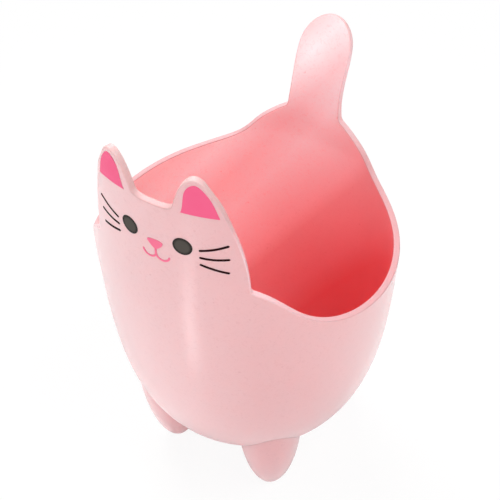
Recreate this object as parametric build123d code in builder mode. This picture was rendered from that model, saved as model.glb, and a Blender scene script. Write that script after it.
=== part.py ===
"""Cat-shaped holder: a round open pot on four short legs.

The pot's wall rises at the front into a cat's head with two ears and a printed face, and at the back into
a tail that curls away from the pot. Millimetres, +Z up, the cat faces -Y. Everything is drawn with the
pot's axis at x = y = 0 and is moved at the end, so that the origin lies under the middle of the overall
box, on the floor. Angles round the pot run in degrees from the front (-Y) towards +X. Left and right are
the cat's own, so its left side is +X.
"""

import os
from math import cos, dist, radians, sin, sqrt

from build123d import *

# ---- Driving dimensions -----------------------------------------------------------------------------
POT_RADIUS = 48.0  # outside, at the widest level
WALL = 2.0
POT_BOTTOM = 20.0  # underside of the pot's floor, above the table
WIDEST = 105.0  # level where the wall stands upright, and where head and tail part from it
HEAD_TOP_RADIUS = 45.3  # the head leans in a little
TAIL_TOP_RADIUS = 58.4  # the tail curls out

FOREHEAD = 154.0
EAR_ROOT = 154.6
EAR_TIP = 165.2
CHEEK = 127.6  # foot of the head's side edges
FLANK = 101.6  # lowest level of the rim
TAIL_ROOT = 120.2
TAIL_TIP = 149.3

LEG_X = 20.9
LEG_Y = 24.3
LEG_RADIUS = 11.4  # where the leg meets the pot
LEG_TAPER = 45.0  # height over which the rounded leg grows to its full radius
LEG_TOP = 50.0  # inside the pot's outline, before the pot is cut out of the leg
LEG_FLAT_RADIUS = 2.4  # the flat that a leg stands on
LEG_WALL = 2.0
LEG_FLOOR = 4.0  # thickness at the foot of the hollow leg
LEG_STEPS = 8  # points that the leg's curve is drawn through
PEG_RADIUS = 3.0  # the peg that stands up inside a leg is glued in a socket under the pot
PEG_TOP = 22.0
PEG_GAP = 0.02  # radial
SOCKET_RADIUS = 5.0
SOCKET_BOTTOM = 14.0
SOCKET_BORE_TOP = 22.5
SOCKET_TOP = 30.0  # inside the pot's wall, before the pot's cavity is cut

INK = 0.1  # thickness of the printed artwork
EYE_X = 8.0
EYE_HEIGHT = 142.4
EYE_WIDTH = 5.3
EYE_TALL = 5.7
MOUTH_STROKE = 0.6
WHISKER_STROKE = 0.65

CUT_INSIDE = 25.0  # the rim's cutting surface runs between these two radii
CUT_OUTSIDE = 75.0
CUT_HEIGHT = 90.0
CURVE_STEPS = 16  # points that the curve beside another is drawn through
PRINT_REACH = 60.0  # how far an outline is carried forwards to meet the wall

FRONT_HALF = Axis((0, 0, 0), (0, 0, -1))  # turns +X over -Y to -X
BACK_HALF = Axis((0, 0, 0), (0, 0, 1))  # turns +X over +Y to -X

# The rim's height above the table against the angle from the front, for the cat's left side. Each list is
# one smooth stretch; stretches meet at the corners beside the ear, the cheek and the tail.
FOREHEAD_EDGE = [(7.4, EAR_ROOT), (4.0, FOREHEAD), (0, FOREHEAD)]
EAR_EDGE = [
    (7.4, EAR_ROOT),
    (8.9, 158.6),
    (10.6, 161.8),
    (12.8, 164.2),
    (15.2, EAR_TIP),
    (17.4, 164.7),
    (20.0, 161.9),
    (22.9, 157.9),
    (25.7, 152.0),
    (28.6, 144.4),
    (30.6, 136.7),
    (31.6, CHEEK),
]
FLANK_EDGE = [
    (31.6, CHEEK),
    (37.5, 124.7),
    (44.0, 119.6),
    (50.6, 114.2),
    (62.0, 108.3),
    (78.0, 104.2),
    (96.0, 102.1),
    (122.0, FLANK),
    (139.0, 103.2),
    (148.3, 106.5),
    (153.6, 111.3),
    (160.0, 116.1),
    (167.5, TAIL_ROOT),
]
TAIL_EDGE = [
    (167.5, TAIL_ROOT),
    (168.9, 131.0),
    (169.6, 139.0),
    (170.8, 143.4),
    (174.2, 147.3),
    (180.0, TAIL_TIP),
]

# Printed artwork, as (x, height) seen from the front; everything but the mouth's stem has a mirror image.
EAR_PRINT = [
    (8.3, 154.3),
    (9.4, 159.7),
    (10.8, 162.9),
    (12.4, 163.8),
    (14.4, 162.2),
    (16.4, 158.4),
    (17.8, 153.8),
]
NOSE = [(-2.3, 141.0), (0, 141.6), (2.3, 141.0), (1.3, 139.1), (0, 138.3), (-1.3, 139.1)]
MOUTH_TOP = 138.2  # just under the nose
MOUTH_MIDDLE = 136.5
MOUTH_LOW = (2.0, 134.9)
MOUTH_CORNER = (4.0, 136.5)
WHISKERS = {
    "upper": [(12.6, 142.2), (15.95, 143.2), (19.3, 144.8)],
    "middle": [(12.6, 139.7), (15.95, 139.6), (19.4, 140.1)],
    "lower": [(12.6, 137.2), (15.95, 136.1), (19.3, 135.3)],
}

os.makedirs("parts", exist_ok=True)


# ---- Wall curves, in the half plane through the pot's axis ------------------------------------------
def pot_curve():
    """Outside of the pot, from the middle of its floor up to the level where it stands upright."""
    return Spline(
        (0, POT_BOTTOM),
        (22.4, POT_BOTTOM + 2),
        (34.4, POT_BOTTOM + 9),
        (39.9, POT_BOTTOM + 17),
        (43.7, POT_BOTTOM + 27),
        (47.1, POT_BOTTOM + 47),
        (POT_RADIUS, WIDEST),
        tangents=((1, 0), (0, 1)),
    )


def head_curve():
    """Outside of the head's wall above the pot."""
    return Spline(
        (POT_RADIUS, WIDEST),
        (46.3, 134),
        (HEAD_TOP_RADIUS, EAR_TIP + 5),
        tangents=((0, 1), (-0.02, 1)),
    )


def tail_curve():
    """Outside of the tail's wall above the pot."""
    return Spline(
        (POT_RADIUS, WIDEST),
        (46.2, 120.8),
        (49.8, 136),
        (TAIL_TOP_RADIUS, TAIL_TIP + 1),
        tangents=((0, 1), (0.8, 1)),
    )


def beside(curve, thickness):
    """Curve that keeps one distance from another, on its inner side if the thickness is positive."""
    points = []
    for i in range(CURVE_STEPS + 1):
        along = curve % (i / CURVE_STEPS)
        points.append(curve @ (i / CURVE_STEPS) + Vector(-along.Y, along.X) * thickness)
    return Spline(*points, tangents=(curve % 0, curve % 1))


def round_wall(curve, thickness, axis=Axis.Z, arc=360):
    """Wall turned about the pot's axis, between a wall curve and the curve beside it."""
    with BuildPart() as wall:
        with BuildSketch(Plane.XZ):
            with BuildLine():
                face_curve = curve()
                back_curve = beside(face_curve, thickness)
                Line(face_curve @ 0, back_curve @ 0)
                Line(face_curve @ 1, back_curve @ 1)
            make_face()
        revolve(axis=axis, revolution_arc=arc)
    return wall.part


# ---- Rim cutters ------------------------------------------------------------------------------------
def both_sides(stretch, middle):
    """Whole of a stretch that crosses the middle plane, from its left half; the middle's angle is given."""
    return stretch + [(2 * middle - angle, height) for angle, height in reversed(stretch[:-1])]


def rim_edge(stretch, radius, side):
    """One stretch of the rim drawn on an upright cylinder; side is 1 for the cat's left, -1 for its right."""
    at_wall = [(POT_RADIUS * radians(angle), height) for angle, height in stretch]
    steps = [dist(p, q) for p, q in zip(at_wall, at_wall[1:])]
    places = [sum(steps[:i]) / sum(steps) for i in range(len(stretch))]
    points = [
        (side * radius * sin(radians(angle)), -radius * cos(radians(angle)), height)
        for angle, height in stretch
    ]
    return Edge.make_spline(points, parameters=places)


def above_rim(stretch, side=1):
    """Everything above one stretch of the rim, whose top face is level across the wall."""
    inside = rim_edge(stretch, CUT_INSIDE, side)
    outside = rim_edge(stretch, CUT_OUTSIDE, side)
    ruled = Face.make_surface_from_curves(inside, outside)
    return extrude(ruled, amount=CUT_HEIGHT, dir=(0, 0, 1))


RIM_CUTS = [
    above_rim(both_sides(FOREHEAD_EDGE, 0)),
    above_rim(both_sides(TAIL_EDGE, 180)),
    above_rim(EAR_EDGE, 1),
    above_rim(EAR_EDGE, -1),
    above_rim(FLANK_EDGE, 1),
    above_rim(FLANK_EDGE, -1),
]

# ---- Shell: pot, head, ears, tail and the four sockets, one moulding --------------------------------
with BuildPart() as pot_block:
    with BuildSketch(Plane.XZ):
        with BuildLine():
            outside = pot_curve()
            Polyline(outside @ 1, (0, WIDEST), outside @ 0)
        make_face()
    revolve(axis=Axis.Z)

with BuildPart() as sockets:
    with Locations((0, 0, SOCKET_BOTTOM)):
        with GridLocations(2 * LEG_X, 2 * LEG_Y, 2, 2):
            Cylinder(SOCKET_RADIUS, SOCKET_TOP - SOCKET_BOTTOM, align=(Align.CENTER, Align.CENTER, Align.MIN))
            Cylinder(
                PEG_RADIUS + PEG_GAP,
                SOCKET_BORE_TOP - SOCKET_BOTTOM,
                align=(Align.CENTER, Align.CENTER, Align.MIN),
                mode=Mode.SUBTRACT,
            )
    add(pot_block.part, mode=Mode.SUBTRACT)

with BuildPart() as shell:
    add(round_wall(pot_curve, WALL))
    add(round_wall(head_curve, WALL, FRONT_HALF, 180))
    add(round_wall(tail_curve, WALL, BACK_HALF, 180))
    for rim_cut in RIM_CUTS:
        add(rim_cut, mode=Mode.SUBTRACT)
    add(sockets.part)


# ---- Legs: hollow, rounded, each with a peg that stands up in its socket ----------------------------
def leg_radius(height):
    """Outside radius of a leg at a height above the table, up to the height where it stands upright."""
    rounding = 1 - (1 - height / LEG_TAPER) ** 2
    return sqrt(LEG_FLAT_RADIUS**2 + (LEG_RADIUS**2 - LEG_FLAT_RADIUS**2) * rounding)


def leg_block(bottom, inset):
    """Solid leg from a level upwards, its side drawn in by an inset all round."""
    levels = [bottom + (LEG_TAPER - bottom) * (i / LEG_STEPS) ** 2 for i in range(LEG_STEPS + 1)]
    with BuildPart() as block:
        with BuildSketch(Plane.XZ):
            with BuildLine():
                side = Spline(*[(leg_radius(level) - inset, level) for level in levels])
                Polyline(side @ 1, (LEG_RADIUS - inset, LEG_TOP), (0, LEG_TOP), (0, bottom), side @ 0)
            make_face()
        revolve(axis=Axis.Z)
    return block.part


with BuildPart() as leg:
    add(leg_block(0, 0))
    add(leg_block(LEG_FLOOR, LEG_WALL), mode=Mode.SUBTRACT)
    with Locations((0, 0, LEG_FLOOR)):
        Cylinder(PEG_RADIUS, PEG_TOP - LEG_FLOOR, align=(Align.CENTER, Align.CENTER, Align.MIN))


def placed_leg(side, end):
    """Leg under the pot, hollowed where the pot sits in it; end is -1 at the front and 1 at the rear."""
    with BuildPart() as placed:
        add(leg.part.moved(Location((side * LEG_X, end * LEG_Y, 0))))
        add(pot_block.part, mode=Mode.SUBTRACT)
    return placed.part


# ---- Printed artwork: thin films on the outside of the head -----------------------------------------
ink_layer = round_wall(head_curve, -INK, FRONT_HALF, 180)


def film(outline):
    """Film of ink on the head's wall, inside an outline that is carried forwards on to it."""
    with BuildPart() as printed:
        extrude(outline, amount=PRINT_REACH, dir=(0, -1, 0))
        add(ink_layer, mode=Mode.INTERSECT)
    return printed.part


def seen(points, side=1):
    """Points of the artwork in the upright plane through the axis; side is -1 for their mirror image."""
    return [(side * x, height) for x, height in points]


def ear_outline(side):
    """Pink patch inside an ear: rounded at the top, straight at the bottom."""
    with BuildSketch(Plane.XZ) as sketch:
        with BuildLine():
            sides = Spline(*seen(EAR_PRINT, side))
            Line(sides @ 1, sides @ 0)
        make_face()
    return sketch.sketch


def eye_outline(side):
    """Oval eye."""
    with BuildSketch(Plane.XZ) as sketch:
        with Locations((side * EYE_X, EYE_HEIGHT)):
            Ellipse(EYE_WIDTH / 2, EYE_TALL / 2)
    return sketch.sketch


def nose_outline():
    """Nose: a triangle on its point, with round corners."""
    with BuildSketch(Plane.XZ) as sketch:
        with BuildLine():
            Spline(*NOSE, periodic=True)
        make_face()
    return sketch.sketch


def mouth_outline():
    """Stem under the nose and two upturned arcs."""
    with BuildSketch(Plane.XZ) as sketch:
        with Locations((0, (MOUTH_TOP + MOUTH_MIDDLE) / 2)):
            Rectangle(MOUTH_STROKE, MOUTH_TOP - MOUTH_MIDDLE)
        for side in (1, -1):
            with BuildLine(mode=Mode.PRIVATE) as lip:
                ThreePointArc(*seen([(0, MOUTH_MIDDLE), MOUTH_LOW, MOUTH_CORNER], side))
            SlotArc(lip.edges()[0], MOUTH_STROKE)
    return sketch.sketch


def whisker_outline(points, side):
    """One slightly bent stroke with round ends."""
    with BuildSketch(Plane.XZ) as sketch:
        with BuildLine(mode=Mode.PRIVATE) as stroke:
            ThreePointArc(*seen(points, side))
        SlotArc(stroke.edges()[0], WHISKER_STROKE)
    return sketch.sketch


# ---- Origin and export ------------------------------------------------------------------------------
box = shell.part.bounding_box()
TO_MIDDLE = Location((0, -(box.min.Y + box.max.Y) / 2, 0))


def save(part, name):
    """Moves a finished part to the shared origin, labels it and writes it as its own STEP file."""
    moved = part.moved(TO_MIDDLE)
    moved.label = name
    export_step(moved, f"parts/{name}.step")


save(shell.part, "shell")
save(film(nose_outline()), "nose")
save(film(mouth_outline()), "mouth")
for name, side in (("left", 1), ("right", -1)):
    save(placed_leg(side, -1), f"front_{name}_foot")
    save(placed_leg(side, 1), f"rear_{name}_foot")
    save(film(ear_outline(side)), f"{name}_ear_patch")
    save(film(eye_outline(side)), f"{name}_eye")
    for level, points in WHISKERS.items():
        save(film(whisker_outline(points, side)), f"{name}_{level}_whisker")
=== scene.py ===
"""Cat-shaped holder on a pale studio floor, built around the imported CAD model.

Lengths are in millimetres until a mesh is made; Blender's own units are metres. The wall is described
about the pot's own axis: an angle from the cat's face (-Y) towards its left (+X), a height above the
floor, and a depth into the wall from its outside.
"""

import math

import bpy
import numpy as np
from mathutils import Matrix, Vector, geometry


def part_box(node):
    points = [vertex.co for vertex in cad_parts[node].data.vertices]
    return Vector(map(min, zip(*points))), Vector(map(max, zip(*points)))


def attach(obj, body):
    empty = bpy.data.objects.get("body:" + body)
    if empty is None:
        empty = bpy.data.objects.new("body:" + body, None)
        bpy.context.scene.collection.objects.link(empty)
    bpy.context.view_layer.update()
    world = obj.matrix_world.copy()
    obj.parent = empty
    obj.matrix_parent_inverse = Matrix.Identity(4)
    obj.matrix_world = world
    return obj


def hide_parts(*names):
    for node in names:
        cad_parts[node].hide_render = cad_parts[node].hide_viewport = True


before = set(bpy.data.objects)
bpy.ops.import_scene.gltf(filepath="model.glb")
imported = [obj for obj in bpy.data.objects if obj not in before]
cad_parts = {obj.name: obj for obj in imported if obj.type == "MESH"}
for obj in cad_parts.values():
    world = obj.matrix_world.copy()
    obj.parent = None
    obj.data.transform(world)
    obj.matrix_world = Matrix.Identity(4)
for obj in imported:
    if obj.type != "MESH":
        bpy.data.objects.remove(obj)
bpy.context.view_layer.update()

MM = 0.001
WALL = 2.0
POT_RADIUS = 48.0
POT_BOTTOM = 20.0
WIDEST = 105.0  # level where head and tail part from the pot
RIM_ROUNDING = 0.35
CORNER_ROUNDING = 1.1  # length of rim taken up by each rounded corner, on each side of it

# How fine the curves and the mesh are
CURVE_POINTS = 2000  # on the outline of the head or the tail, and half of those on the pot's
RIM_ARC_STEPS = 5  # rows of points round each rounded edge of the rim
RIM_STEP = 0.9
RIM_TURN = math.radians(11)  # most that the rim turns between two of its points
STRETCH_POINTS = 601  # dense points on half a stretch of rim, all that is kept of a mirrored stretch
CORNER_POINTS = 12
SHEET_STEP = 2.1  # spacing of points inside the wall's mesh
SHEET_GAP = 0.7 * SHEET_STEP  # between those points and the outline
ROW_STEP = 0.866  # spacing of the rows of a triangular lattice, as a share of that of its points
BASE_LEVEL = 62.0  # the wall is meshed as a sheet above this level, and as rings below it
BASE_COLUMNS = 66  # from the cat's face round to its tail, on one side
BASE_RINGS = 36

# Corners and points of the rim: angle from the face in degrees, height. The same as the CAD model's.
EAR_CORNER = (7.4, 154.6)
CHEEK_CORNER = (31.6, 127.6)
TAIL_CORNER = (167.5, 120.2)
FOREHEAD_EDGE = [EAR_CORNER, (4.0, 154.0), (0, 154.0)]
EAR_EDGE = [
    EAR_CORNER,
    (8.9, 158.6),
    (10.6, 161.8),
    (12.8, 164.2),
    (15.2, 165.2),
    (17.4, 164.7),
    (20.0, 161.9),
    (22.9, 157.9),
    (25.7, 152.0),
    (28.6, 144.4),
    (30.6, 136.7),
    CHEEK_CORNER,
]
FLANK_EDGE = [
    CHEEK_CORNER,
    (37.5, 124.7),
    (44.0, 119.6),
    (50.6, 114.2),
    (62.0, 108.3),
    (78.0, 104.2),
    (96.0, 102.1),
    (122.0, 101.6),
    (139.0, 103.2),
    (148.3, 106.5),
    (153.6, 111.3),
    (160.0, 116.1),
    TAIL_CORNER,
]
TAIL_EDGE = [
    TAIL_CORNER,
    (168.9, 131.0),
    (169.6, 139.0),
    (170.8, 143.4),
    (174.2, 147.3),
    (180.0, 149.3),
]


# ---- Curves -----------------------------------------------------------------------------------------
def smooth_curve(points, start=None, end=None, count=400):
    """Cubic spline through points, spaced by chord length, with given unit tangents or free ends.

    Returns the curve's points and its unit tangents, both as arrays.
    """
    p = np.asarray(points, float)
    h = np.hypot(*np.diff(p, axis=0).T)
    n = len(p)
    a = np.zeros((n, n))
    b = np.zeros((n, 2))
    for i in range(1, n - 1):
        a[i, i - 1] = h[i]
        a[i, i] = 2 * (h[i - 1] + h[i])
        a[i, i + 1] = h[i - 1]
        b[i] = 3 * (h[i] * (p[i] - p[i - 1]) / h[i - 1] + h[i - 1] * (p[i + 1] - p[i]) / h[i])
    for row, given, step in ((0, start, 0), (n - 1, end, n - 2)):
        a[row, row] = 1
        if given is not None:
            b[row] = np.asarray(given, float) / np.hypot(*given)
        else:
            a[row, row + (1 if row == 0 else -1)] = 1
            b[row] = 2 * (p[step + 1] - p[step]) / h[step]
    slopes = np.linalg.solve(a, b)
    knots = np.concatenate([[0], np.cumsum(h)])
    t = np.linspace(0, knots[-1], count)
    k = np.clip(np.searchsorted(knots, t, side="right") - 1, 0, n - 2)
    s = ((t - knots[k]) / h[k])[:, None]
    hk = h[k][:, None]
    p0, p1, m0, m1 = p[k], p[k + 1], slopes[k] * hk, slopes[k + 1] * hk
    curve = (
        (2 * s**3 - 3 * s**2 + 1) * p0
        + (s**3 - 2 * s**2 + s) * m0
        + (-2 * s**3 + 3 * s**2) * p1
        + (s**3 - s**2) * m1
    )
    along = (
        (6 * s**2 - 6 * s) * (p0 - p1) + (3 * s**2 - 4 * s + 1) * m0 + (3 * s**2 - 2 * s) * m1
    )
    return curve, along / np.linalg.norm(along, axis=1)[:, None]


# Outside of the wall as (radius, height), with its tangents: the pot, then the head or the tail above it.
POT_CURVE, POT_ALONG = smooth_curve(
    [
        (0, POT_BOTTOM),
        (22.4, POT_BOTTOM + 2),
        (34.4, POT_BOTTOM + 9),
        (39.9, POT_BOTTOM + 17),
        (43.7, POT_BOTTOM + 27),
        (47.1, POT_BOTTOM + 47),
        (POT_RADIUS, WIDEST),
    ],
    start=(1, 0),
    end=(0, 1),
    count=2 * CURVE_POINTS,
)
HEAD_CURVE, HEAD_ALONG = smooth_curve(
    [(POT_RADIUS, WIDEST), (46.3, 134), (45.3, 170.2)],
    start=(0, 1),
    end=(-0.02, 1),
    count=CURVE_POINTS,
)
TAIL_CURVE, TAIL_ALONG = smooth_curve(
    [(POT_RADIUS, WIDEST), (46.2, 120.8), (49.8, 136), (58.4, 150.3)],
    start=(0, 1),
    end=(0.8, 1),
    count=CURVE_POINTS,
)
# Where the pot's axis stands in the shared frame: the shell's foremost point is on the widest level.
AXIS_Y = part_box("shell")[0][1] / MM + POT_CURVE[:, 0].max()

# The wall's outside from the floor of the pot upwards, as points and tangents: at the head, at the tail.
OUTLINES = (
    (np.vstack([POT_CURVE, HEAD_CURVE[1:]]), np.vstack([POT_ALONG, HEAD_ALONG[1:]])),
    (np.vstack([POT_CURVE, TAIL_CURVE[1:]]), np.vstack([POT_ALONG, TAIL_ALONG[1:]])),
)


def profile(height, back):
    """Radius of the wall's outside at given heights, and its outward normal as (radial, upward) parts."""
    found = []
    for curve, along in OUTLINES:
        radius = np.interp(height, curve[:, 1], curve[:, 0])
        radial = np.interp(height, curve[:, 1], along[:, 1])
        upward = -np.interp(height, curve[:, 1], along[:, 0])
        found.append(np.stack([radius, radial, upward], axis=-1))
    at_head, at_tail = found
    chosen = np.where(np.asarray(back)[..., None], at_tail, at_head)
    return chosen[..., 0], chosen[..., 1], chosen[..., 2]


def on_wall(angle, height, depth=0.0):
    """Points of the wall about the pot's axis, and the outward normals there; angle is in radians."""
    angle, height = np.broadcast_arrays(np.asarray(angle, float), np.asarray(height, float))
    radius, radial, upward = profile(height, angle > math.pi / 2)
    r = radius - depth * radial
    z = height - depth * upward
    points = np.stack([r * np.sin(angle), -r * np.cos(angle), z], axis=-1)
    normals = np.stack([radial * np.sin(angle), -radial * np.cos(angle), upward], axis=-1)
    return points, normals


# ---- Rim line of one side, from the middle of the forehead to the tip of the tail -------------------
def rim_stretch(points, middle=None):
    """Dense points of one stretch, as (distance round the pot, height).

    With a middle, in degrees, the stretch ends there and is shaped as half of a mirrored curve.
    """
    if middle is not None:
        points = points + [(2 * middle - angle, height) for angle, height in reversed(points[:-1])]
    flat = [(POT_RADIUS * math.radians(angle), height) for angle, height in points]
    curve = smooth_curve(flat, count=2 * STRETCH_POINTS - 1)[0]
    return curve[:STRETCH_POINTS] if middle is not None else curve


def running_length(line):
    """Length of a line of points, up to each of them."""
    return np.concatenate([[0], np.cumsum(np.hypot(*np.diff(line, axis=0).T))])


def rounded(before, after):
    """Two stretches joined by a small curve in place of their corner."""
    corner = before[-1]
    before = before[: len(before) - np.searchsorted(running_length(before[::-1]), CORNER_ROUNDING)]
    after = after[np.searchsorted(running_length(after), CORNER_ROUNDING) :]
    t = np.linspace(0, 1, CORNER_POINTS + 2)[1:-1, None]
    bend = (1 - t) ** 2 * before[-1] + 2 * t * (1 - t) * corner + t**2 * after[0]
    return np.vstack([before, bend, after])


def rim_line():
    """Rim from the forehead to the tail's tip, with closer points where it turns."""
    line = rim_stretch(FOREHEAD_EDGE, 0)[::-1]
    for stretch in (rim_stretch(EAR_EDGE), rim_stretch(FLANK_EDGE), rim_stretch(TAIL_EDGE, 180)):
        line = rounded(line, stretch)
    step = np.diff(line, axis=0)
    length = np.hypot(*step.T)
    keep = length > 1e-9
    line = np.vstack([line[:-1][keep], line[-1]])
    step, length = step[keep], length[keep]
    heading = np.unwrap(np.arctan2(step[:, 1], step[:, 0]))
    turning = np.concatenate([[0], np.abs(np.diff(heading))])
    cost = np.concatenate([[0], np.cumsum(length / RIM_STEP + turning / RIM_TURN)])
    wanted = np.linspace(0, cost[-1], int(cost[-1]) + 2)
    return np.stack([np.interp(wanted, cost, line[:, i]) for i in (0, 1)], axis=1)


# ---- Meshes -----------------------------------------------------------------------------------------
class Builder:
    """Collects points with their normals, and faces with a material number, then makes one object."""

    def __init__(self):
        self.points, self.normals, self.faces, self.kinds, self.found = [], [], [], [], {}

    def add(self, points, normals):
        """Adds points about the pot's axis; returns their numbers. A point met before keeps its number."""
        numbers = []
        for p, n in zip(np.reshape(points, (-1, 3)), np.reshape(normals, (-1, 3))):
            key = tuple(np.round(p, 4) + 0.0)
            if key not in self.found:
                self.found[key] = len(self.points)
                self.points.append(p)
                self.normals.append(n)
            numbers.append(self.found[key])
        return numbers

    def face(self, corners, kind):
        """Adds one face, turned to agree with its normals, unless its corners fall together."""
        corners = [c for i, c in enumerate(corners) if c != corners[i - 1]]
        if len(set(corners)) < 3:
            return
        a, b, c = (np.asarray(self.points[i]) for i in corners[:3])
        facing = np.dot(np.cross(b - a, c - a), sum(self.normals[i] for i in corners))
        self.faces.append(corners if facing > 0 else corners[::-1])
        self.kinds.append(kind)

    def strip(self, row, other, kind):
        """Fills between two rows of points."""
        for i in range(len(row) - 1):
            self.face([row[i], row[i + 1], other[i + 1], other[i]], kind)

    def make(self, name, materials):
        """Makes the object, moved from the pot's axis to the shared frame."""
        points = (np.array(self.points) + [0, AXIS_Y, 0]) * MM
        mesh = bpy.data.meshes.new(name)
        mesh.from_pydata([tuple(p) for p in points], [], self.faces)
        for material in materials:
            mesh.materials.append(material)
        mesh.polygons.foreach_set("material_index", self.kinds)
        mesh.polygons.foreach_set("use_smooth", [True] * len(self.faces))
        mesh.validate()
        normals = np.array(self.normals)
        normals /= np.linalg.norm(normals, axis=1)[:, None]
        mesh.normals_split_custom_set_from_vertices([tuple(n) for n in normals])
        mesh.update()
        piece = bpy.data.objects.new(name, mesh)
        bpy.context.scene.collection.objects.link(piece)
        return piece


def inside_outline(points, outline):
    """Which points lie inside a closed outline."""
    x, y = points[:, 0], points[:, 1]
    inside = np.zeros(len(points), bool)
    for (x0, y0), (x1, y1) in zip(outline, np.roll(outline, -1, axis=0)):
        if y0 != y1:
            crosses = (y0 > y) != (y1 > y)
            inside ^= crosses & (x < (x1 - x0) * (y - y0) / (y1 - y0) + x0)
    return inside


def sheet(outline, step, clear):
    """Triangles that fill a closed outline, with a lattice of points inside. Returns points, triangles."""
    low, high = outline.min(axis=0), outline.max(axis=0)
    rows = np.arange(low[1], high[1], step * ROW_STEP)
    lattice = np.array(
        [(x, y) for k, y in enumerate(rows) for x in np.arange(low[0] + (k % 2) * step / 2, high[0], step)]
    ).reshape(-1, 2)
    lattice = lattice[inside_outline(lattice, outline)]
    gap = np.array([np.hypot(*(outline - p).T).min() for p in lattice]).reshape(-1)
    lattice = lattice[gap > clear]
    every = [Vector(p) for p in np.vstack([outline, lattice])]
    loop = [(i, (i + 1) % len(outline)) for i in range(len(outline))]
    points, _, faces, *_ = geometry.delaunay_2d_cdt(every, loop, [], 0, 1e-6, True)
    points = np.array([tuple(p) for p in points])
    faces = np.array([list(face) for face in faces])
    return points, faces[inside_outline(points[faces].mean(axis=1), outline)]


OUTSIDE, INSIDE, RIM_BAND = 0, 1, 2
FACES_OF_WALL = ((0.0, 1, OUTSIDE), (WALL, -1, INSIDE))  # depth, which way it faces, kind


def build_rim(put, builder):
    """Rounded edges of the rim. Returns the angles and heights where the wall's two faces start."""
    rim = rim_line()
    at, out = on_wall(rim[:, 0] / POT_RADIUS, rim[:, 1])
    along = np.gradient(at, axis=0)
    along[[0, -1], 1:] = 0
    along /= np.linalg.norm(along, axis=1)[:, None]
    inward = np.cross(along, out)
    inward /= np.linalg.norm(inward, axis=1)[:, None]
    edge = at + RIM_ROUNDING * inward
    angle = np.arctan2(edge[:, 0], -edge[:, 1])
    angle[[0, -1]] = (0, math.pi)
    height = edge[:, 2]

    rows = []
    for depth, sign, turns in (
        (RIM_ROUNDING, 1, np.linspace(0, math.pi / 2, RIM_ARC_STEPS)),
        (WALL - RIM_ROUNDING, -1, np.linspace(math.pi / 2, 0, RIM_ARC_STEPS)),
    ):
        middle, normal = on_wall(angle, height, depth)
        for turn in turns:
            facing = sign * math.cos(turn) * normal - math.sin(turn) * inward
            rows.append(put(middle + RIM_ROUNDING * facing, facing))
    for row, other in zip(rows, rows[1:]):
        builder.strip(row, other, RIM_BAND)
    return angle, height


def build_sheet(put, builder, columns, angle, height):
    """Both faces of the wall between the base level and the rim."""
    base = np.stack([columns * POT_RADIUS, np.full(len(columns), BASE_LEVEL)], axis=1)
    top = np.stack([angle * POT_RADIUS, height], axis=1)

    def upright(x, high):
        levels = np.linspace(BASE_LEVEL, high, int((high - BASE_LEVEL) / SHEET_STEP) + 2)[1:-1]
        return np.stack([np.full(len(levels), x), levels], axis=1)

    at_tail = upright(math.pi * POT_RADIUS, top[-1, 1])
    at_face = upright(0, top[0, 1])
    outline = np.vstack([base, at_tail, top[::-1], at_face[::-1]])
    points, faces = sheet(outline, SHEET_STEP, SHEET_GAP)
    for depth, sign, kind in FACES_OF_WALL:
        places, normals = on_wall(points[:, 0] / POT_RADIUS, points[:, 1], depth)
        numbers = put(places, sign * normals)
        for face in faces:
            builder.face([numbers[i] for i in face], kind)


def build_base(put, builder, columns):
    """Both faces of the wall below the base level, as rings down to the middle of the floor."""
    start = np.searchsorted(POT_CURVE[:, 1], BASE_LEVEL)
    run = running_length(POT_CURVE[: start + 1])
    steps = np.interp(np.linspace(run[-1], 0, BASE_RINGS + 1), run, np.arange(len(run)))
    index = np.arange(len(POT_CURVE))
    for depth, sign, kind in FACES_OF_WALL:
        previous = None
        for number, step in enumerate(steps):
            if number == 0:
                ring, normal = on_wall(columns, np.full(len(columns), BASE_LEVEL), depth)
            else:
                r, z = (np.interp(step, index, POT_CURVE[:, i]) for i in (0, 1))
                downward, radial = (np.interp(step, index, POT_ALONG[:, i]) for i in (0, 1))
                r = 0.0 if number == BASE_RINGS else r - depth * radial
                z += depth * downward
                level = np.full(len(columns), z)
                ring = np.stack([r * np.sin(columns), -r * np.cos(columns), level], axis=1)
                upward = np.full(len(columns), -downward)
                normal = np.stack([radial * np.sin(columns), -radial * np.cos(columns), upward], axis=1)
            ring = put(ring, sign * normal)
            if previous:
                builder.strip(previous, ring, kind)
            previous = ring


def build_half(builder, mirrored):
    """One side of the wall: its rounded rim, the sheet above the base level and the rings below it."""
    side = np.array([-1.0 if mirrored else 1.0, 1.0, 1.0])

    def put(points, normals):
        return builder.add(points * side, normals * side)

    columns = np.linspace(0, math.pi, BASE_COLUMNS + 1)
    angle, height = build_rim(put, builder)
    build_sheet(put, builder, columns, angle, height)
    build_base(put, builder, columns)


def build_shell(materials):
    """Pot, head, ears and tail, one moulding."""
    builder = Builder()
    for mirrored in (False, True):
        build_half(builder, mirrored)
    return builder.make("cat_shell", materials)


# ---- Materials --------------------------------------------------------------------------------------
def linear(r, g, b):
    """Colour from 0 to 255 as a linear one."""
    out = []
    for value in (r, g, b):
        value /= 255
        out.append(value / 12.92 if value <= 0.04045 else ((value + 0.055) / 1.055) ** 2.4)
    return (*out, 1.0)


def add_node(tree, kind, settings=None, **inputs):
    """Adds a shader node, sets its properties and then its inputs; a link is given as an output socket."""
    made = tree.nodes.new(kind)
    for name, value in (settings or {}).items():
        setattr(made, name, value)
    for name, value in inputs.items():
        wanted = name.replace("_", " ")
        socket = next(s for s in made.inputs if s.name == wanted and s.enabled)
        if isinstance(value, bpy.types.NodeSocket):
            tree.links.new(value, socket)
        else:
            socket.default_value = value
    return made


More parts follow.
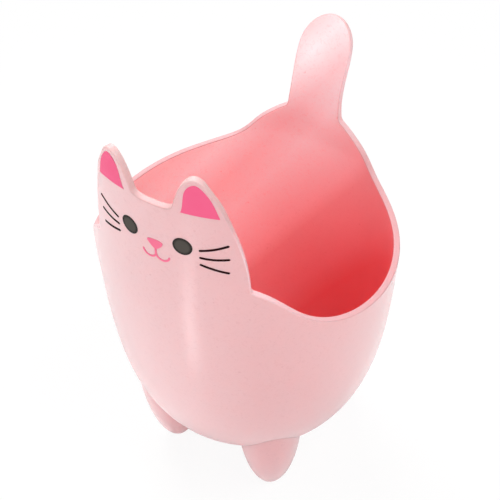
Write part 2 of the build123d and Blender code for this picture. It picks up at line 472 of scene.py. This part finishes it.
def blended(tree, factor, first, second):
    """Colour between two, by a factor."""
    mix = add_node(tree, "ShaderNodeMix", {"data_type": "RGBA"}, Factor=factor, A=first, B=second)
    return next(s for s in mix.outputs if s.enabled)


def ramp(tree, factor, *stops):
    """Colour that runs through stops of (place, colour) as a factor goes from 0 to 1."""
    made = add_node(tree, "ShaderNodeValToRGB", Fac=factor)
    elements = made.color_ramp.elements
    while len(elements) < len(stops):
        elements.new(1.0)
    for element, (place, colour) in zip(elements, stops):
        element.position = place
        element.color = colour
    return made.outputs["Color"]


def ranged(tree, value, start, end, low=0.0, high=1.0):
    """Value carried from one range to another and held at its ends."""
    made = add_node(
        tree,
        "ShaderNodeMapRange",
        {"interpolation_type": "SMOOTHSTEP"},
        Value=value,
        From_Min=start,
        From_Max=end,
        To_Min=low,
        To_Max=high,
    )
    return made.outputs["Result"]


def product(tree, first, second):
    """Two values multiplied."""
    made = add_node(tree, "ShaderNodeMath", {"operation": "MULTIPLY"})
    for value, socket in zip((first, second), made.inputs):
        if isinstance(value, bpy.types.NodeSocket):
            tree.links.new(value, socket)
        else:
            socket.default_value = value
    return made.outputs["Value"]


def new_material(name):
    """Empty principled material; returns it with its node tree, its shader and the object's coordinates."""
    material = bpy.data.materials.new(name)
    material.use_nodes = True
    tree = material.node_tree
    place = add_node(tree, "ShaderNodeTexCoord").outputs["Object"]
    return material, tree, tree.nodes["Principled BSDF"], place


def uneven(tree, shader, height, strength, depth):
    """Fine bumps on a surface; their depth is in millimetres."""
    bump = add_node(tree, "ShaderNodeBump", Strength=strength, Distance=depth * MM, Height=height)
    tree.links.new(bump.outputs["Normal"], shader.inputs["Normal"])


def along_tilt(tree, place, levels, tilt):
    """Colour that runs through levels of (distance in millimetres along the tilt, colour)."""
    low, high = levels[0][0], levels[-1][0]
    distance = add_node(tree, "ShaderNodeVectorMath", {"operation": "DOT_PRODUCT"})
    tree.links.new(place, distance.inputs[0])
    distance.inputs[1].default_value = tilt
    share = add_node(
        tree, "ShaderNodeMapRange", Value=distance.outputs["Value"], From_Min=low * MM, From_Max=high * MM
    )
    stops = [((level - low) / (high - low), colour) for level, colour in levels]
    return ramp(tree, share.outputs["Result"], *stops)


def flecks(tree, place):
    """How strongly the sparse flecks of fibre show: small bent spots, in some cells of a cell pattern."""
    bend = add_node(tree, "ShaderNodeTexNoise", Vector=place, Scale=BEND_SCALE, Detail=1.0)
    shifted = add_node(tree, "ShaderNodeVectorMath", {"operation": "MULTIPLY_ADD"})
    tree.links.new(bend.outputs["Color"], shifted.inputs[0])
    shifted.inputs[1].default_value = [FLECK_BEND] * 3
    tree.links.new(place, shifted.inputs[2])
    cells = add_node(
        tree, "ShaderNodeTexVoronoi", {"feature": "F1"}, Vector=shifted.outputs["Vector"], Scale=FLECK_SCALE
    )
    spot = ranged(tree, cells.outputs["Distance"], *FLECK_SIZE)
    lot = add_node(tree, "ShaderNodeSeparateColor", Color=cells.outputs["Color"])
    return product(tree, spot, ranged(tree, lot.outputs["Red"], *FLECK_SHARE, 0.0, FLECK_STRENGTH))


def plastic(name, levels, fibre, roughness, edge=None, painted_glow=0.0, tilt=(0.0, 0.0, 1.0)):
    """Moulded plastic with plant fibre in it.

    The colour runs through its levels along the tilt. Faint clouds, curls and flecks of fibre and a fine
    grain lie over it. An edge colour, a painted sheen, pales the surface where it turns away. The painted
    glow is painted light: an emission that brightens the surface, in place of light through the thin wall.
    """
    material, tree, shader, place = new_material(name)
    colours = along_tilt(tree, place, levels, tilt)
    clouds = add_node(tree, "ShaderNodeTexNoise", Vector=place, Scale=CLOUD_SCALE, Detail=3.0)
    colours = blended(tree, product(tree, clouds.outputs["Fac"], CLOUD_STRENGTH), colours, fibre)
    curls = add_node(
        tree, "ShaderNodeTexNoise", Vector=place, Scale=CURL_SCALE, Detail=2.0, Roughness=0.6, Distortion=1.5
    )
    curled = ranged(tree, curls.outputs["Fac"], *CURL_SHARE, 0.0, CURL_STRENGTH)
    colours = blended(tree, curled, colours, fibre)
    colours = blended(tree, flecks(tree, place), colours, fibre)
    # painted sheen: the edge colour pales the surface where it turns away from the view
    if edge is not None:
        facing = add_node(tree, "ShaderNodeLayerWeight", Blend=0.5).outputs["Facing"]
        colours = blended(tree, ranged(tree, facing, *PAINTED_SHEEN_FADE), colours, edge)
    tree.links.new(colours, shader.inputs["Base Color"])

    rough = ranged(tree, clouds.outputs["Fac"], 0.0, 1.0, roughness - SHINE_SPREAD, roughness + SHINE_SPREAD)
    tree.links.new(rough, shader.inputs["Roughness"])
    grain = add_node(tree, "ShaderNodeTexNoise", Vector=place, Scale=GRAIN_SCALE, Detail=2.0)
    uneven(tree, shader, grain.outputs["Fac"], *GRAIN_BUMP)
    # painted glow: emission from a surface that is no lamp
    if painted_glow:
        shader.inputs["Emission Color"].default_value = PAINTED_GLOW_COLOUR
        shader.inputs["Emission Strength"].default_value = painted_glow

    shader.inputs["Subsurface Weight"].default_value = SCATTER
    shader.inputs["Subsurface Radius"].default_value = SCATTER_COLOURS
    shader.inputs["Subsurface Scale"].default_value = SCATTER_REACH * MM
    shader.inputs["IOR"].default_value = PLASTIC_IOR
    return material


def ink(name, colour, other, roughness):
    """Printed ink: two close tones in a fine uneven layer."""
    material, tree, shader, place = new_material(name)
    broad = add_node(tree, "ShaderNodeTexNoise", Vector=place, Scale=INK_TONE_SCALE, Detail=2.0)
    tree.links.new(blended(tree, broad.outputs["Fac"], colour, other), shader.inputs["Base Color"])
    fine = add_node(tree, "ShaderNodeTexNoise", Vector=place, Scale=INK_GRAIN_SCALE, Detail=1.0)
    rough = ranged(tree, fine.outputs["Fac"], 0.0, 1.0, roughness - INK_SPREAD, roughness + INK_SPREAD)
    tree.links.new(rough, shader.inputs["Roughness"])
    uneven(tree, shader, fine.outputs["Fac"], *INK_BUMP)
    shader.inputs["Specular IOR Level"].default_value = INK_SHINE
    return material


def eye_ink(name, box):
    """Dark oval print, a little paler in its middle; the box is the eye's own."""
    material, tree, shader, place = new_material(name)
    low, high = box
    scale = (2 / (high[0] - low[0]), 0.0, 2 / (high[2] - low[2]))
    from_middle = add_node(tree, "ShaderNodeVectorMath", {"operation": "MULTIPLY_ADD"})
    tree.links.new(place, from_middle.inputs[0])
    from_middle.inputs[1].default_value = scale
    from_middle.inputs[2].default_value = [-(a + b) / 2 * k for a, b, k in zip(low, high, scale)]
    distance = add_node(tree, "ShaderNodeVectorMath", {"operation": "LENGTH"})
    tree.links.new(from_middle.outputs["Vector"], distance.inputs[0])
    border = ranged(tree, distance.outputs["Value"], *EYE_FADE)
    tree.links.new(blended(tree, border, EYE_MIDDLE, EYE_BORDER), shader.inputs["Base Color"])
    shader.inputs["Roughness"].default_value = DARK_INK_ROUGHNESS
    shader.inputs["Specular IOR Level"].default_value = INK_SHINE
    return material


def seamless(name):
    """Studio sweep: a pale floor that lights the object, and that the camera sees almost white."""
    material, tree, shader, place = new_material(name)
    tone = add_node(tree, "ShaderNodeTexNoise", Vector=place, Scale=PAPER_SCALE, Detail=2.0)
    tree.links.new(blended(tree, tone.outputs["Fac"], *PAPER_TONES), shader.inputs["Base Color"])
    shader.inputs["Roughness"].default_value = 0.8
    shader.inputs["Specular IOR Level"].default_value = 0.0
    bright = add_node(tree, "ShaderNodeEmission", Strength=1.0)
    washed = add_node(tree, "ShaderNodeMixShader")
    tree.links.new(shader.outputs["BSDF"], washed.inputs[1])
    tree.links.new(bright.outputs["Emission"], washed.inputs[2])
    away = add_node(tree, "ShaderNodeVectorMath", {"operation": "LENGTH"})
    tree.links.new(place, away.inputs[0])
    wash = ranged(tree, away.outputs["Value"], *SHADOW_REACH, FLOOR_WASH, 1.0)
    seen_by_camera = add_node(tree, "ShaderNodeLightPath").outputs["Is Camera Ray"]
    tree.links.new(product(tree, seen_by_camera, wash), washed.inputs["Fac"])
    tree.links.new(washed.outputs["Shader"], tree.nodes["Material Output"].inputs["Surface"])
    return material


# Scales of noise and cells are per metre. A pair is a range of a pattern over which an effect comes in.
CLOUD_SCALE = 30.0
CLOUD_STRENGTH = 0.08
CURL_SCALE = 800.0
CURL_SHARE = (0.5, 0.75)
CURL_STRENGTH = 0.14
BEND_SCALE = 150.0
FLECK_BEND = 0.004  # metres
FLECK_SCALE = 380.0
FLECK_SIZE = (0.16, 0.04)  # distance from a cell's middle, as a share of the cell
FLECK_SHARE = (0.55, 1.0)
FLECK_STRENGTH = 0.3
GRAIN_SCALE = 900.0
GRAIN_BUMP = (0.03, 0.03)  # strength, and depth in millimetres
SHINE_SPREAD = 0.02
PAINTED_SHEEN_FADE = (0.45, 1.0)  # how far the surface turns away while its painted sheen, a paler edge colour, fades in
SCATTER = 0.3
SCATTER_COLOURS = (1.0, 0.45, 0.4)
SCATTER_REACH = 1.5
PAINTED_GLOW_COLOUR = linear(255, 96, 100)  # painted light: colour of an emission that brightens the inside, in place of light through the wall
PLASTIC_IOR = 1.5
SHADED_TO_LIT = (-1.58, 0.28, 1.0)  # up, and towards the inner wall on the cat's right
# painted light: the outside is paler along this direction, towards the cat's right cheek, where the light
# falls
PAINTED_LIGHT_TO_RIGHT_CHEEK = (-0.87, -0.5, 0.0)

INK_TONE_SCALE = 120.0
INK_GRAIN_SCALE = 1500.0
INK_BUMP = (0.08, 0.1)
INK_SPREAD = 0.06
INK_SHINE = 0.04
INK_ROUGHNESS = 0.45
DARK_INK_ROUGHNESS = 0.6
EYE_MIDDLE = linear(84, 79, 74)
EYE_BORDER = linear(50, 46, 44)
EYE_FADE = (0.6, 0.95)  # distance from the eye's middle, as a share of its half width or half height

PAPER_SCALE = 40.0
PAPER_TONES = ((0.9, 0.9, 0.9, 1), (0.93, 0.93, 0.93, 1))
FLOOR_WASH = 0.9  # how much of the floor's shading the camera loses to plain white, near the object
SHADOW_REACH = (0.06, 0.35)  # metres from the object's middle over which the rest is lost too

# levels are painted light: paler towards the cat's right cheek, on the lit side
OUTER = plastic(
    "pink_outside",
    [(-48, linear(240, 187, 189)), (0, linear(240, 188, 190)), (42, linear(245, 204, 206))],
    linear(206, 130, 134),
    0.24,
    # painted sheen: paler colour where the outside turns away
    edge=linear(241, 202, 204),
    tilt=PAINTED_LIGHT_TO_RIGHT_CHEEK,
)
# levels are painted light and shade: pale near the rim and towards the lit inner wall, deep red low down and
# on the shaded side
INNER = plastic(
    "pink_inside",
    [
        (30, linear(226, 88, 93)),
        (46, linear(231, 126, 131)),
        (78, linear(236, 158, 162)),
        (88, linear(247, 190, 194)),
        (122, linear(255, 233, 236)),
        (140, linear(255, 216, 219)),
        (158, linear(255, 242, 244)),
        (170, linear(255, 222, 224)),
    ],
    linear(206, 96, 100),
    0.30,
    # painted light: an emission glow that brightens the inside's red
    painted_glow=0.075,
    tilt=SHADED_TO_LIT,
)
# levels by height are painted light and shade: palest near 140, darker low on the flank and at the forehead
RIM = plastic(
    "pink_rim",
    [
        (100, linear(214, 160, 163)),
        (118, linear(238, 192, 195)),
        (140, linear(252, 212, 216)),
        (149, linear(238, 192, 194)),
        (154, linear(222, 178, 178)),
        (166, linear(234, 195, 194)),
    ],
    linear(190, 134, 136),
    0.5,
)
FEET = plastic(
    "pink_feet",
    [(0, linear(236, 172, 175)), (50, linear(238, 178, 180))],
    linear(200, 124, 128),
    0.24,
    # painted sheen: paler colour where the feet turn away
    edge=linear(244, 206, 208),
)
EAR_INK = ink("ear_ink", linear(250, 98, 140), linear(253, 112, 154), INK_ROUGHNESS)
MOUTH_INK = ink("mouth_ink", linear(254, 126, 158), linear(252, 120, 152), INK_ROUGHNESS)
WHISKER_INK = ink("whisker_ink", linear(36, 9, 11), linear(42, 14, 16), DARK_INK_ROUGHNESS)

# ---- The object -------------------------------------------------------------------------------------
shell = build_shell([OUTER, INNER, RIM])
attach(shell, "root")
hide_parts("shell")

for name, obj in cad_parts.items():
    if name == "shell":
        continue
    if name.endswith("_foot"):
        paint = FEET
    elif name.endswith("_ear_patch"):
        paint = EAR_INK
    elif name.endswith("_eye"):
        paint = eye_ink(f"{name}_ink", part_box(name))
    elif name.endswith("_whisker"):
        paint = WHISKER_INK
    else:
        paint = MOUTH_INK
    for slot in obj.material_slots:
        slot.material = paint

# ---- Camera -----------------------------------------------------------------------------------------
CAMERA_AZIMUTH = math.radians(31.32)
CAMERA_ELEVATION = math.radians(47.58)
CAMERA_ROLL = math.radians(-1.72)
CAMERA_DISTANCE = 272.1
CAMERA_TARGET = (0.2, 93.56)  # to the right of the pot's axis, and above the floor
CAMERA_LENS = 59.82
CAMERA_NEAR = 0.01  # metres
CAMERA_FAR = 20


def aim(azimuth, elevation, roll=0.0):
    """Right, up and back directions of something that looks at the object from an azimuth and elevation."""
    back = Vector(
        (
            math.sin(azimuth) * math.cos(elevation),
            -math.cos(azimuth) * math.cos(elevation),
            math.sin(elevation),
        )
    )
    right = Vector((math.cos(azimuth), math.sin(azimuth), 0))
    up = back.cross(right)
    c, s = math.cos(roll), math.sin(roll)
    return c * right + s * up, c * up - s * right, back


def stand(obj, place, directions):
    """Puts a camera or a light at a place in millimetres about the pot's axis, looking against its back."""
    turn = Matrix(directions).transposed().to_4x4()
    obj.matrix_world = Matrix.Translation((place + Vector((0, AXIS_Y, 0))) * MM) @ turn
    bpy.context.scene.collection.objects.link(obj)


camera = bpy.data.objects.new("camera", bpy.data.cameras.new("camera"))
camera.data.lens = CAMERA_LENS
camera.data.clip_start = CAMERA_NEAR
camera.data.clip_end = CAMERA_FAR
right, up, back = aim(CAMERA_AZIMUTH, CAMERA_ELEVATION, CAMERA_ROLL)
level_right = Vector((math.cos(CAMERA_AZIMUTH), math.sin(CAMERA_AZIMUTH), 0))
target = level_right * CAMERA_TARGET[0] + Vector((0, 0, CAMERA_TARGET[1]))
stand(camera, target + back * CAMERA_DISTANCE, (right, up, back))
bpy.context.scene.camera = camera

# ---- Floor, lights and world ------------------------------------------------------------------------
bpy.context.scene.view_settings.view_transform = "Standard"

FLOOR_HALF = 4  # metres
corners = [(x * FLOOR_HALF, y * FLOOR_HALF, 0) for x, y in ((-1, -1), (1, -1), (1, 1), (-1, 1))]
floor_mesh = bpy.data.meshes.new("floor")
floor_mesh.from_pydata(corners, [], [(0, 1, 2, 3)])
floor = bpy.data.objects.new("floor", floor_mesh)
bpy.context.scene.collection.objects.link(floor)
floor_mesh.materials.append(seamless("floor_sweep"))


AMBIENT = 0.10
LIT_LEVEL = 90  # the height that every light faces
# Name; azimuth and elevation in degrees; distance, width and height in millimetres; watts.
SOFTBOXES = [
    ("back_left_box", -130, 50, 900, 500, 500, 6.6),
    ("left_box", -60, 20, 900, 600, 600, 2.1),
    ("low_box", -10, 14, 900, 500, 400, 0.9),
    ("front_box", 31, 45, 900, 500, 500, 2.9),
    ("right_box", 100, 55, 900, 500, 500, 4.1),
]
# The same for two small lights that only make the highlights on the tail and on the chest.
CARDS = [
    ("tail_card", -12.5, 21, 900, 60, 240, 0.8),
    ("chest_card", -5, -28, 143, 14, 60, 0.008),
]


def softbox(name, azimuth, elevation, distance, width, height, watts):
    """Rectangular light that faces the pot's axis at the lit level."""
    light = bpy.data.lights.new(name, "AREA")
    light.shape = "RECTANGLE"
    light.size = width * MM
    light.size_y = height * MM
    light.energy = watts
    box = bpy.data.objects.new(name, light)
    box.visible_camera = False
    right, up, back = aim(math.radians(azimuth), math.radians(elevation))
    stand(box, back * distance + Vector((0, 0, LIT_LEVEL)), (right, up, back))
    return box


def gloss_only(box):
    """Lets a light be seen in glossy surfaces alone, by rays that haven't met a matt one before."""
    box.visible_diffuse = False
    box.data.use_nodes = True
    tree = box.data.node_tree
    first = add_node(tree, "ShaderNodeMath", {"operation": "LESS_THAN"})
    tree.links.new(add_node(tree, "ShaderNodeLightPath").outputs["Diffuse Depth"], first.inputs[0])
    first.inputs[1].default_value = 0.5
    tree.links.new(first.outputs["Value"], tree.nodes["Emission"].inputs["Strength"])


for values in SOFTBOXES:
    softbox(*values)
for values in CARDS:
    gloss_only(softbox(*values))

world = bpy.data.worlds.new("studio")
world.use_nodes = True
sky = world.node_tree
ambient = sky.nodes["Background"]
ambient.inputs["Color"].default_value = (1, 1, 1, 1)
ambient.inputs["Strength"].default_value = AMBIENT
backdrop = add_node(sky, "ShaderNodeBackground", Color=(1, 1, 1, 1), Strength=1.0)
either = add_node(sky, "ShaderNodeMixShader")
sky.links.new(add_node(sky, "ShaderNodeLightPath").outputs["Is Camera Ray"], either.inputs["Fac"])
sky.links.new(ambient.outputs["Background"], either.inputs[1])
sky.links.new(backdrop.outputs["Background"], either.inputs[2])
sky.links.new(either.outputs["Shader"], sky.nodes["World Output"].inputs["Surface"])
bpy.context.scene.world = world
